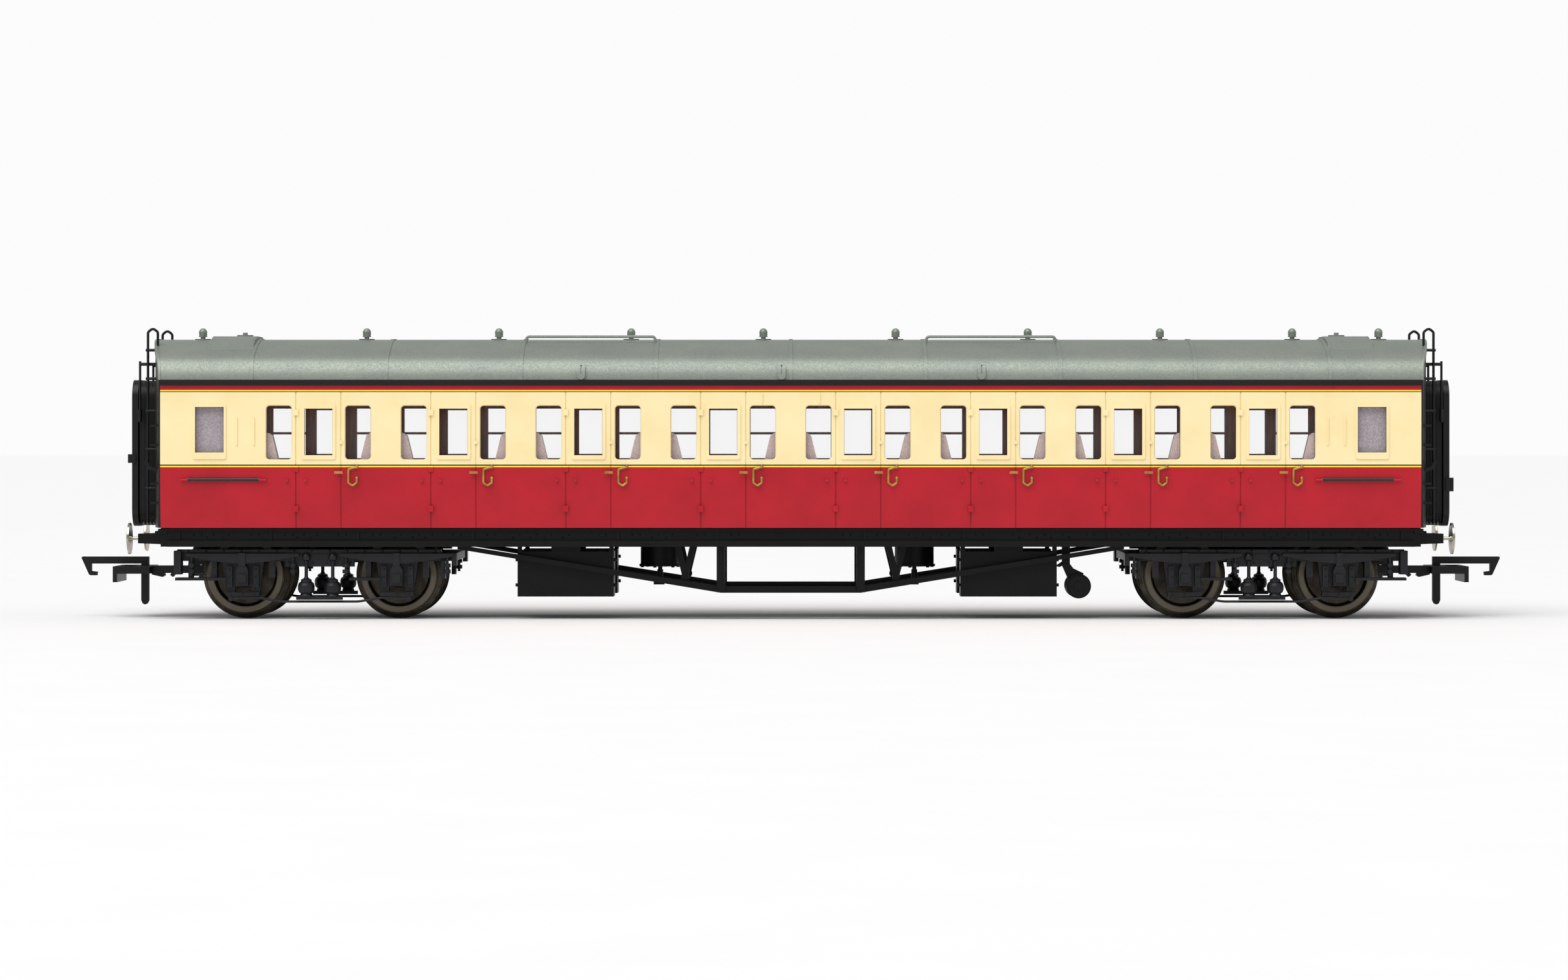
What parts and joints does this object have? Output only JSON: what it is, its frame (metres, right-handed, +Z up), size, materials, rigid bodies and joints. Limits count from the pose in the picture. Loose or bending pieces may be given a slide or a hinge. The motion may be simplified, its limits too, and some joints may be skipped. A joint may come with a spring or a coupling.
{
  "type": "model passenger coach",
  "caption": "Small-scale model railway corridor coach with bowed ends, glazed compartments, swivelling bogies, rolling wheelsets, sprung buffers and lifting hook couplings.",
  "frame": {"origin": "middle of the coach between its wheels, at the foot of the wheel flanges", "axes": "+X along the coach, -Y towards the compartment side, +Z up"},
  "size_m": [0.2618, 0.0376, 0.0532],
  "materials": {
    "side_paint": "satin paint",
    "roof_paint": "matt paint",
    "clear_glazing": "clear",
    "frosted_glazing": "frosted",
    "gold_metal": "painted gold",
    "black_plastic": "satin",
    "black_fittings": "satin",
    "brown_plastic": "satin",
    "seat_plastic": "matt paint",
    "red_fittings": "satin paint",
    "steel": "bare",
    "buffer_metal": "turned, bright",
    "wheel_metal": "darkened",
    "bogie_plastic": "satin",
    "cup_brass": "bare",
    "rubber": "satin"
  },
  "bodies": {
    "coach": {"body_shell": "side_paint", "roof": "roof_paint", "roof_ventilators": "roof_paint", "roof_side_ventilators": "roof_paint", "water_tank_covers": "roof_paint", "tank_filler_caps": "roof_paint", "roof_rails": "roof_paint", "glazing_compartment_side": "clear_glazing", "glazing_corridor_side": "clear_glazing", "toilet_windows": "frosted_glazing", "grab_handles": "gold_metal", "door_handles": "gold_metal", "side_handrails": "black_fittings", "door_stops": "red_fittings", "interior_floor": "brown_plastic", "seats": "seat_plastic", "compartment_walls": "brown_plastic", "corridor_wall": "brown_plastic", "ballast_weight": "steel", "chassis_floor": "black_plastic", "pivot_screws": "steel", "solebars": "black_plastic", "headstocks": "black_plastic", "truss_rods": "black_plastic", "truss_posts": "black_plastic", "battery_boxes": "black_plastic", "vacuum_cylinders": "black_plastic", "dynamo": "black_plastic", "gangway_bellows": "rubber", "gangway_faceplates": "black_fittings", "end_pipes": "black_fittings", "end_steps": "black_fittings", "buffer_housings": "black_plastic", "buffer_springs": "steel"},
    "buffer_left_near": {"buffer_left_near": "buffer_metal"},
    "buffer_left_far": {"buffer_left_far": "buffer_metal"},
    "bogie_left": {"bogie_left_frame": "bogie_plastic", "bogie_left_axleboxes": "bogie_plastic", "bogie_left_bolster_springs": "bogie_plastic", "bogie_left_brake_ties": "bogie_plastic", "bogie_left_axle_cups": "cup_brass"},
    "wheelset_left_outer": {"wheels_left_outer": "wheel_metal", "axle_left_outer": "steel"},
    "wheelset_left_inner": {"wheels_left_inner": "wheel_metal", "axle_left_inner": "steel"},
    "coupling_left": {"coupling_bar_left": "black_fittings"},
    "hook_left": {"coupling_hook_left": "black_fittings"},
    "buffer_right_near": {"buffer_right_near": "buffer_metal"},
    "buffer_right_far": {"buffer_right_far": "buffer_metal"},
    "bogie_right": {"bogie_right_frame": "bogie_plastic", "bogie_right_axleboxes": "bogie_plastic", "bogie_right_bolster_springs": "bogie_plastic", "bogie_right_brake_ties": "bogie_plastic", "bogie_right_axle_cups": "cup_brass"},
    "wheelset_right_outer": {"wheels_right_outer": "wheel_metal", "axle_right_outer": "steel"},
    "wheelset_right_inner": {"wheels_right_inner": "wheel_metal", "axle_right_inner": "steel"},
    "coupling_right": {"coupling_bar_right": "black_fittings"},
    "hook_right": {"coupling_hook_right": "black_fittings"}
  },
  "joints": [
    {"name": "buffer_left_near_travel", "type": "slide", "parent": "coach", "child": "buffer_left_near", "axis": [1, 0, 0], "range_m": [0, 0.0012], "stiffness_N_per_m": 100, "springref_m": -0.001, "deforming": ["buffer_springs"]},
    {"name": "buffer_left_far_travel", "type": "slide", "parent": "coach", "child": "buffer_left_far", "axis": [1, 0, 0], "range_m": [0, 0.0012], "stiffness_N_per_m": 100, "springref_m": -0.001, "deforming": ["buffer_springs"]},
    {"name": "bogie_left_swivel", "type": "hinge", "parent": "coach", "child": "bogie_left", "pos_m": [-0.0855, 0, 0.0123], "axis": [0, 0, 1], "range_deg": [-12, 12]},
    {"name": "wheelset_left_outer_spin", "type": "hinge", "parent": "bogie_left", "child": "wheelset_left_outer", "pos_m": [-0.0995, 0, 0.008], "axis": [0, 1, 0], "continuous": true},
    {"name": "wheelset_left_inner_spin", "type": "hinge", "parent": "bogie_left", "child": "wheelset_left_inner", "pos_m": [-0.0715, 0, 0.008], "axis": [0, 1, 0], "continuous": true},
    {"name": "coupling_left_swing", "type": "hinge", "parent": "bogie_left", "child": "coupling_left", "pos_m": [-0.108, 0, 0.0087], "axis": [0, 0, 1], "range_deg": [-8, 8]},
    {"name": "hook_left_lift", "type": "hinge", "parent": "coupling_left", "child": "hook_left", "pos_m": [-0.11915, 0, 0.00872], "axis": [0, 1, 0], "range_deg": [0, 18]},
    {"name": "buffer_right_near_travel", "type": "slide", "parent": "coach", "child": "buffer_right_near", "axis": [-1, 0, 0], "range_m": [0, 0.0012], "stiffness_N_per_m": 100, "springref_m": -0.001, "deforming": ["buffer_springs"]},
    {"name": "buffer_right_far_travel", "type": "slide", "parent": "coach", "child": "buffer_right_far", "axis": [-1, 0, 0], "range_m": [0, 0.0012], "stiffness_N_per_m": 100, "springref_m": -0.001, "deforming": ["buffer_springs"]},
    {"name": "bogie_right_swivel", "type": "hinge", "parent": "coach", "child": "bogie_right", "pos_m": [0.0855, 0, 0.0123], "axis": [0, 0, 1], "range_deg": [-12, 12]},
    {"name": "wheelset_right_outer_spin", "type": "hinge", "parent": "bogie_right", "child": "wheelset_right_outer", "pos_m": [0.0995, 0, 0.008], "axis": [0, 1, 0], "continuous": true},
    {"name": "wheelset_right_inner_spin", "type": "hinge", "parent": "bogie_right", "child": "wheelset_right_inner", "pos_m": [0.0715, 0, 0.008], "axis": [0, 1, 0], "continuous": true},
    {"name": "coupling_right_swing", "type": "hinge", "parent": "bogie_right", "child": "coupling_right", "pos_m": [0.108, 0, 0.0087], "axis": [0, 0, 1], "range_deg": [-8, 8]},
    {"name": "hook_right_lift", "type": "hinge", "parent": "coupling_right", "child": "hook_right", "pos_m": [0.11915, 0, 0.00872], "axis": [0, -1, 0], "range_deg": [0, 18]}
  ]
}
